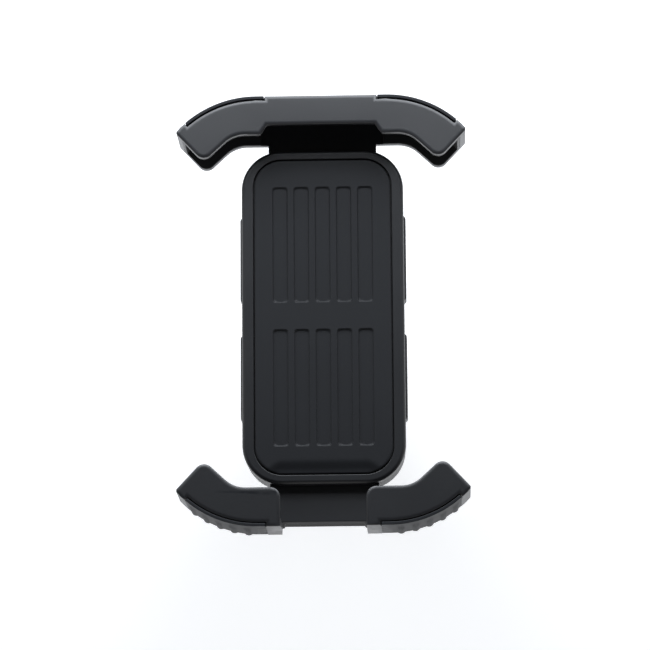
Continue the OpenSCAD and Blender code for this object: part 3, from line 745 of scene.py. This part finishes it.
@dataclass
class CradlePlate:
    """The front plate with its pad, and the rear housing.

    Args:
        rim_round: Rounding of the plate's outer edge.
        lip_round: Rounding of the pocket's edge.
        pad_round: Rounding of the pad's edge.
        recess: Width, length and corner radius of a recess in the pad.
        recess_pitch: Distance between recesses.
        recess_rows: Distance between the two rows.
        recess_depth: Depth of a recess.
        recess_count: Recesses in a row.
        recess_wall: Where a recess's wall starts and ends, outwards from its outline.
        scoop: Half width, length and depth of the finger scoop.
        scoop_flare: How much wider the scoop is at the pad's end.
        scoop_fade: Half the width over which the scoop's sides fade out.
        scoop_full: Distance from the pad's end at which the scoop has its full depth.
        pad_corner: Corner radius of the pad.
        rim_corner: Corner radius by which the plate's outline is told from its pocket.
        rim_reach: How far in from that outline an edge still belongs to it.
        net: Widest gap between the lines of the pad's net.
    """

    rim_round: float = 1.2
    lip_round: float = 0.2
    pad_round: float = 0.45
    recess: tuple[float, float, float] = (4.7, 36.4, 1.0)
    recess_pitch: float = 6.55
    recess_rows: float = 44.8
    recess_depth: float = 0.5
    recess_count: int = 5
    recess_wall: tuple[float, float] = (0.06, -0.32)
    scoop: tuple[float, float, float] = (13.3, 4.2, 0.7)
    scoop_flare: float = 3.4
    scoop_fade: float = 1.3
    scoop_full: float = 0.6
    pad_corner: float = 8.3
    rim_corner: float = 12.3
    rim_reach: float = 1.5
    net: float = 0.7

    def build(self) -> None:
        """Makes every piece of the plate and housing."""
        self.plate()
        self.pad()
        round_edges("rear_housing", 0.45)
        round_edges("housing_screws", 0.12, 2)

    def plate(self) -> None:
        """The plate, with a wide rounding outside and a crisp one round the pad."""
        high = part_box("front_plate")[1] / MM
        part = Rebuilt("front_plate", "front_plate_shell")

        def upper(a: Vector, b: Vector) -> bool:
            """Edges of the rim's face."""
            return min(a.z, b.z) > high.z - SAME_LEVEL

        def outer(a: Vector, b: Vector) -> bool:
            """Edges of the rim's outer side."""
            return upper(a, b) and self.on_outline(a, high)

        part.round([EdgeRule(outer, self.rim_round, 6), EdgeRule(upper, self.lip_round, 3)])
        part.finish()

    def on_outline(self, point: Vector, high: Vector) -> bool:
        """Whether a point lies on the plate's outline, whose farthest corner is given."""
        x = max(abs(point.x) - (high.x - self.rim_corner), 0)
        y = max(abs(point.y) - (high.y - self.rim_corner), 0)
        return self.rim_corner - math.hypot(x, y) < self.rim_reach and (x > 0 or y > 0)

    def height(self, x: float, y: float, depth_in: float, top: float, end: float) -> float:
        """Height of the pad's surface.

        Args:
            x: Across the pad.
            y: Along the pad.
            depth_in: Distance from the pad's edge.
            top: The pad's highest level.
            end: Half the pad's length.

        Returns:
            The height in millimetres.
        """
        z = top
        if depth_in < self.pad_round:
            z -= self.pad_round - math.sqrt(self.pad_round**2 - (self.pad_round - depth_in) ** 2)
        width, length, corner = self.recess
        row = abs(y) - self.recess_rows / 2
        half = (self.recess_count - 1) / 2
        column = x - self.recess_pitch * max(-half, min(half, round(x / self.recess_pitch)))
        out_x = abs(column) - (width / 2 - corner)
        out_y = abs(row) - (length / 2 - corner)
        gap = math.hypot(max(out_x, 0), max(out_y, 0)) + min(max(out_x, out_y), 0) - corner
        z -= self.recess_depth * smooth(*self.recess_wall, gap)
        half_scoop, run, depth = self.scoop
        along = end + y
        wide = half_scoop + self.scoop_flare * max(0.0, 1 - along / run)
        side = smooth(wide + self.scoop_fade, wide - self.scoop_fade, abs(x))
        z -= depth * smooth(run, self.scoop_full, along) * side
        return z

    def pad(self) -> None:
        """The silicone pad: a net of points with lines where the recesses bend."""
        low, high = (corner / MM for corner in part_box("grip_pad"))
        half, end, corner = high.x, high.y, self.pad_corner
        bend = (-0.5, -0.32, -0.26, -0.19, -0.13, -0.07, 0.0, 0.06, 0.2)
        width, length, _ = self.recess
        middle = (self.recess_count - 1) / 2
        columns = [(i - middle) * self.recess_pitch for i in range(self.recess_count)]
        rows = [-self.recess_rows / 2, self.recess_rows / 2]
        rim = [self.pad_round * (1 - math.cos(math.radians(15 * i))) for i in range(7)]
        across = [c + s * (width / 2 + d) for c in columns for s in (-1, 1) for d in bend]
        across += [s * (half - d) for s in (-1, 1) for d in rim]
        along = [c + s * (length / 2 + d) for c in rows for s in (-1, 1) for d in bend]
        along += [c + s * (length / 2 - d) for c in rows for s in (-1, 1) for d in (0.9, 1.3, 1.8)]
        along += [s * (end - d) for s in (-1, 1) for d in rim]
        maker = MeshMaker("grip_pad_skin")
        grid = []
        for y in self.net_lines(along, self.net):
            over = max(abs(y) - (end - corner), 0)
            reach = half - corner + math.sqrt(max(corner**2 - over**2, 0))
            line = []
            for x in self.net_lines(across, self.net):
                at = x * reach / half
                inward = self.inward(at, y, half, end)
                z = self.height(at, y, inward, high.z, end)
                line.append(maker.bm.verts.new(Vector((at, y, z)) * MM))
            grid.append(line)
        for first, second in zip(grid, grid[1:]):
            for i in range(len(first) - 1):
                maker.bm.faces.new((first[i], first[i + 1], second[i + 1], second[i]))
        edge = grid[0] + [line[-1] for line in grid[1:-1]] + grid[-1][::-1]
        edge += [line[0] for line in grid[-2:0:-1]]
        foot = [maker.bm.verts.new(Vector((v.co.x, v.co.y, low.z * MM))) for v in edge]
        maker.bridge(foot, edge)
        maker.cap(foot[::-1])
        piece = maker.finish(50)
        dress(piece, "grip_pad", replace=True)

    @staticmethod
    def net_lines(wanted: list[float], widest: float) -> list[float]:
        """Lines at wanted places, with more between them where they are far apart.

        Args:
            wanted: The places.
            widest: The widest gap that stays.

        Returns:
            All the places in order.
        """
        places = sorted({round(w, 3) for w in wanted})
        filled = [places[0]]
        for place in places[1:]:
            count = math.ceil((place - filled[-1]) / widest)
            start = filled[-1]
            filled += [start + (place - start) * k / count for k in range(1, count + 1)]
        return filled

    def inward(self, x: float, y: float, half: float, end: float) -> float:
        """Distance from a point of the pad to its edge."""
        over_x = abs(x) - (half - self.pad_corner)
        over_y = abs(y) - (end - self.pad_corner)
        out = math.hypot(max(over_x, 0), max(over_y, 0)) + min(max(over_x, over_y), 0)
        return max(self.pad_corner - out, 0)


def smooth(low: float, high: float, value: float) -> float:
    """A smooth step from 0 at low to 1 at high, which may be the smaller one."""
    share = max(0.0, min(1.0, (value - low) / (high - low)))
    return share * share * (3 - 2 * share)


class Side(Enum):
    """Which jaw of the cradle."""

    UPPER = "upper"
    LOWER = "lower"


@dataclass
class Jaw:
    """One jaw with its bumpers, liners and rack.

    Args:
        side: Which jaw it is.
        border: Width of the shallow border round the lip's face.
        border_drop: How much lower the border's outer edge is.
        lip_round: Rounding between the border and the side.
        edge_round: Rounding of the other edges.
        bumper_round: Rounding of a bumper's long edges.
        ridge_taper: How far a ridge's end drops for each millimetre that it stands out.
    """

    side: Side
    border: float = 1.15
    border_drop: float = 0.28
    lip_round: float = 0.3
    edge_round: float = 0.22
    bumper_round: float = 0.2
    ridge_taper: float = 4.0

    def build(self) -> None:
        """Makes every piece of the jaw."""
        name = self.side.value
        self.shell(f"{name}_jaw")
        for hand in ("left", "right"):
            self.bumper(f"{name}_{hand}_bumper")
            self.liner(f"{name}_{hand}_liner")
        round_edges(f"{name}_rack", 0.1, 1)
        round_edges(f"{name}_rack_screws", 0.1, 1)

    def shell(self, node: str) -> None:
        """The jaw's body, with a shallow border round the lip's face."""
        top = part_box(node)[1].z / MM
        part = Rebuilt(node, f"{node}_shell")
        part.slope_border(top, self.border, self.border_drop)
        edge = top - self.border_drop
        part.round([
            EdgeRule(lambda a, b: abs(min(a.z, b.z) - edge) < 2 * SAME_LEVEL, self.lip_round, 4),
            EdgeRule(lambda a, b: max(a.z, b.z) < top - 1, self.edge_round, 2),
        ])
        part.finish()

    def bumper(self, node: str) -> None:
        """A band whose ridges fade out at both ends."""
        low, high = (corner.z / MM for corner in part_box(node))
        part = Rebuilt(node, f"{node}_band")
        part.taper_ends(self.ridge_taper)
        part.round([
            EdgeRule(lambda a, b: min(a.z, b.z) > high - SAME_LEVEL, self.bumper_round, 3),
            EdgeRule(lambda a, b: max(a.z, b.z) < low + SAME_LEVEL, self.bumper_round, 3),
        ])
        part.finish()

    def liner(self, node: str) -> None:
        """A soft channel with rounded edges."""
        part = Rebuilt(node, f"{node}_skin")
        part.round([EdgeRule(lambda a, b: True, self.edge_round, 3)])
        part.finish()


@dataclass
class RackDrive:
    """Pinion, axle and spring inside the housing, with the lock.

    Args:
        edge: Rounding of the small metal parts.
    """

    edge: float = 0.12

    def build(self) -> None:
        """Rounds and finishes the drive's parts and the lock's."""
        for node in ("drive_pinion", "pinion_axle"):
            round_edges(node, self.edge, 1)
        dress(frame["nodes"]["return_spring"], "return_spring", replace=False)
        round_edges("lock_cam", 0.2, 2)
        round_edges("lock_lever", 0.6, 4)
        round_edges("lock_screw", self.edge, 2)


@dataclass
class BallJoint:
    """Socket, seat, collar nut and ball stud.

    Args:
        edge: Rounding of the socket and its seat.
    """

    edge: float = 0.35

    def build(self) -> None:
        """Rounds and finishes the joint's parts."""
        round_edges("ball_socket", self.edge, 3)
        round_edges("ball_seat", self.edge, 2)
        round_edges("collar_nut", 0.5, 3)
        round_edges("ball_stud", 0.4, 3)
        for node in ("socket_screws", "stud_screws"):
            round_edges(node, 0.12, 2)


@dataclass
class BarClamp:
    """The clamp on the handlebar.

    Args:
        bar: Radius of the bar.
        rib_count: Ribs to a full turn of a rubber liner.
        rib_depth: Depth of the grooves between them.
        thread: Pitch and depth of the screw's thread.
        screw: Radius of the screw.
        neck: Radius of the screw's neck, where the pins hold it.
        pin_gap: Play of the pins along the neck.
        chamfer: Chamfer at the screw's end and before the neck.
        shoulder: Chamfer after the neck.
        thread_start: Where the thread starts, from the screw's lower end.
        plain_shank: Length below the neck that the thread leaves free.
        arc_steps: Points along a liner's arc.
        end_round: Rounding of a liner's ends.
    """

    bar: float = 11.1
    rib_count: int = 48
    rib_depth: float = 0.4
    thread: tuple[float, float] = (1.0, 0.5)
    screw: float = 3.0
    neck: float = 2.2
    pin_gap: float = 0.15
    chamfer: float = 0.3
    shoulder: float = 0.2
    thread_start: float = 0.4
    plain_shank: float = 1.2
    arc_steps: int = 120
    end_round: float = 0.12

    def build(self) -> None:
        """Makes every piece of the clamp."""
        round_edges("clamp_frame", 0.9, 4)
        round_edges("pressure_pad", 0.4, 3)
        round_edges("screw_bush", 0.2, 2)
        round_edges("retaining_pins", 0.1, 2)
        round_edges("clamp_knob", 1.1, 5)
        round_edges("knob_cap", 0.3, 3)
        self.liner("saddle_liner", up=True)
        self.liner("pressure_liner", up=False)
        self.threaded_screw()

    def liner(self, node: str, up: bool) -> None:
        """A rubber liner with ribs along the bar.

        Args:
            node: The CAD node that it stands for.
            up: Whether it lies above the bar.
        """
        low, high = (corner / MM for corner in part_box(node))
        outer = high.z if up else -low.z
        half = math.degrees(math.asin(high.y / outer))
        steps = self.arc_steps
        sign = 1 if up else -1
        inner_points: list[Point] = []
        for i in range(steps + 1):
            angle = -half + 2 * half * i / steps
            wave = 0.5 - 0.5 * math.cos(math.radians(angle) * self.rib_count)
            radius = self.bar + self.rib_depth * wave**3
            inner_points.append(self.polar(radius, angle, sign))
        outer_points = [
            self.polar(outer, half - 2 * half * i / steps, sign) for i in range(steps + 1)
        ]
        loop = inner_points + outer_points
        area = sum(a[0] * b[1] - b[0] * a[1] for a, b in zip(loop, loop[1:] + loop[:1]))
        loop = loop if area > 0 else loop[::-1]
        across = Matrix(((0, 0, 1), (1, 0, 0), (0, 1, 0)))
        shrink = self.end_round
        levels = [
            (inset(loop, shrink), low.x), (inset(loop, shrink * 0.3), low.x + shrink * 0.3),
            (loop, low.x + shrink), (loop, high.x - shrink),
            (inset(loop, shrink * 0.3), high.x - shrink * 0.3), (inset(loop, shrink), high.x),
        ]
        maker = MeshMaker(f"{node}_ribbed")
        maker.band(levels, across)
        piece = maker.finish(40)
        dress(piece, node, replace=True)

    @staticmethod
    def polar(radius: float, angle: float, sign: int) -> Point:
        """A point across the bar at an angle from straight up or down, in degrees."""
        turn = math.radians(angle)
        return (radius * math.sin(turn), sign * radius * math.cos(turn))

    def threaded_screw(self) -> None:
        """The clamp screw with its thread, neck and tip."""
        low, high = (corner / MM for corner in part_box("clamp_screw"))
        pins_low, pins_high = (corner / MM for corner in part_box("retaining_pins"))
        neck_low, neck_high = pins_low.z - self.pin_gap, pins_high.z + self.pin_gap
        pitch, depth = self.thread
        around, per_turn = 40, 8
        maker = MeshMaker("clamp_screw_threaded")

        def ring_at(z: float, radius: float, cut: float) -> list:
            """One ring of the screw, cut by the thread."""
            points = []
            for i in range(around):
                turn = i / around
                phase = (z / pitch - turn) % 1
                r = radius - cut * (1 - abs(2 * phase - 1))
                points.append((r * math.cos(2 * math.pi * turn), r * math.sin(2 * math.pi * turn)))
            return maker.ring(points, z)

        rings = [ring_at(low.z, self.screw - depth, 0)]
        count = int((neck_low - low.z - self.plain_shank) / pitch * per_turn)
        for i in range(count + 1):
            z = low.z + self.thread_start + i * pitch / per_turn
            fade = min(1.0, i / per_turn, (count - i) / per_turn)
            rings.append(ring_at(z, self.screw, depth * fade))
        for z, radius in [
            (neck_low - self.chamfer, self.screw), (neck_low, self.screw - self.chamfer),
            (neck_low, self.neck), (neck_high, self.neck),
            (neck_high, self.screw - self.shoulder), (neck_high + self.shoulder, self.screw),
            (high.z - self.chamfer, self.screw), (high.z, self.screw - self.chamfer),
        ]:
            rings.append(ring_at(z, radius, 0))
        for first, second in zip(rings, rings[1:]):
            maker.bridge(first, second)
        maker.cap(rings[0][::-1])
        maker.cap(rings[-1])
        piece = maker.finish(40)
        dress(piece, "clamp_screw", replace=True)


# ---------------------------------------------------------------------- studio


@dataclass(frozen=True)
class SoftBox:
    """An area light.

    Args:
        name: Its name.
        place: Where it hangs, in metres.
        size: Its width and height in metres.
        power: Its power in watts.
    """

    name: str
    place: tuple[float, float, float]
    size: tuple[float, float]
    power: float


@dataclass
class Studio:
    """Floor, lights and camera.

    Args:
        distance: The camera's distance from the middle of the plate, in metres.
        lens: The camera's lens in millimetres.
        azimuth: The camera's turn about the upright axis, in degrees.
        elevation: Its height above the horizon.
        roll: Its turn about its own line of sight.
        shift: The picture's shift sideways and upwards, as shares of its width.
        floor_glow: Strength of the floor's own light.
        dusk: Heights between which the sky darkens.
        horizon: Brightness of the sky all round.
        zenith: Brightness of the sky overhead.
        lamp_tint: Colour of the soft boxes.
        boxes: The soft boxes.
    """

    distance: float = 1.2
    lens: float = 216.5
    azimuth: float = 8.5
    elevation: float = 78.0
    roll: float = -9.1
    shift: Point = (0.0029, -0.0146)
    floor_glow: float = 0.37
    dusk: tuple[float, float] = (0.45, 0.75)
    horizon: float = 0.6
    zenith: float = 0.03
    lamp_tint: tuple[float, float, float] = (0.9, 0.94, 1.0)
    boxes: list[SoftBox] = field(default_factory=lambda: [
        SoftBox("key_box", (0.0, 0.31, 0.38), (0.7, 0.2), 1.75),
        SoftBox("low_box", (0.0, 0.30, 0.25), (0.7, 0.15), 1.1),
        SoftBox("back_box", (0.0, 0.55, 0.22), (1.0, 0.16), 2.2),
    ])

    def build(self) -> None:
        """Sets the scene up."""
        self.floor()
        self.sky()
        for box in self.boxes:
            self.soft_box(box)
        self.camera()
        bpy.context.scene.view_settings.view_transform = "Standard"

    def target(self) -> Vector:
        """The middle of the plate's rim."""
        return Vector((0, 0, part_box("front_plate")[1].z))

    def floor(self) -> None:
        """A wide pale floor just under the lowest point."""
        bpy.ops.mesh.primitive_plane_add(size=6, location=(0, 0, CAD_BOX[0].z - 0.0005))
        plane = bpy.context.object
        plane.name = "floor"
        made = bpy.data.materials.new("floor_paint")
        made.use_nodes = True
        graph = Graph(made.node_tree)
        mottle = graph.noise(graph.place(), 0.01, 3)
        surface = graph.node("ShaderNodeBsdfPrincipled", None, {
            "Base Color": graph.blend(mottle, grey(0.93), grey(0.95)),
            "Roughness": 0.8, "Specular IOR Level": 0.1,
            "Emission Color": (1, 1, 1, 1), "Emission Strength": self.floor_glow,
        }, "BSDF")
        graph.node("ShaderNodeOutputMaterial", None, {"Surface": surface})
        plane.data.materials.append(made)

    def sky(self) -> None:
        """Soft light all round, darker overhead."""
        world = bpy.data.worlds.new("studio")
        world.use_nodes = True
        bpy.context.scene.world = world
        graph = Graph(world.node_tree)
        up = graph.node("ShaderNodeTexCoord", output="Generated")
        height = graph.node("ShaderNodeSeparateXYZ", None, {0: up}, "Z")
        light = graph.blend(height.between(*self.dusk), grey(self.horizon), grey(self.zenith))
        back = graph.node("ShaderNodeBackground", None, {"Color": light, "Strength": 1.0}, "Background")
        graph.node("ShaderNodeOutputWorld", None, {"Surface": back})

    def soft_box(self, box: SoftBox) -> None:
        """One area light that looks at the plate."""
        lamp = bpy.data.lights.new(box.name, "AREA")
        lamp.shape = "RECTANGLE"
        lamp.size, lamp.size_y = box.size
        lamp.energy = box.power
        lamp.color = self.lamp_tint
        holder = bpy.data.objects.new(box.name, lamp)
        bpy.context.scene.collection.objects.link(holder)
        holder.location = box.place
        holder.rotation_euler = (self.target() - Vector(box.place)).to_track_quat("-Z", "Y").to_euler()

    def camera(self) -> None:
        """The camera, looking down at the plate."""
        azimuth, elevation, roll = (math.radians(a) for a in (self.azimuth, self.elevation, self.roll))
        back = Vector((
            math.sin(azimuth) * math.cos(elevation),
            -math.cos(azimuth) * math.cos(elevation),
            math.sin(elevation),
        ))
        level = Vector((math.cos(azimuth), math.sin(azimuth), 0))
        upright = back.cross(level)
        right = math.cos(roll) * level + math.sin(roll) * upright
        up = back.cross(right)
        data = bpy.data.cameras.new("camera")
        data.lens = self.lens
        data.shift_x, data.shift_y = self.shift
        data.clip_start, data.clip_end = 0.05, 20
        holder = bpy.data.objects.new("camera", data)
        bpy.context.scene.collection.objects.link(holder)
        turn = Matrix((right, up, back)).transposed().to_4x4()
        holder.matrix_world = Matrix.Translation(self.target() + back * self.distance) @ turn
        bpy.context.scene.camera = holder


def main() -> None:
    """Builds the studio and every assembly in order."""
    logging.basicConfig(level=logging.INFO, format="%(name)s %(message)s")
    Studio().build()
    CradlePlate().build()
    Jaw(Side.UPPER).build()
    Jaw(Side.LOWER).build()
    RackDrive().build()
    BallJoint().build()
    BarClamp().build()


if __name__ == "__main__":
    main()
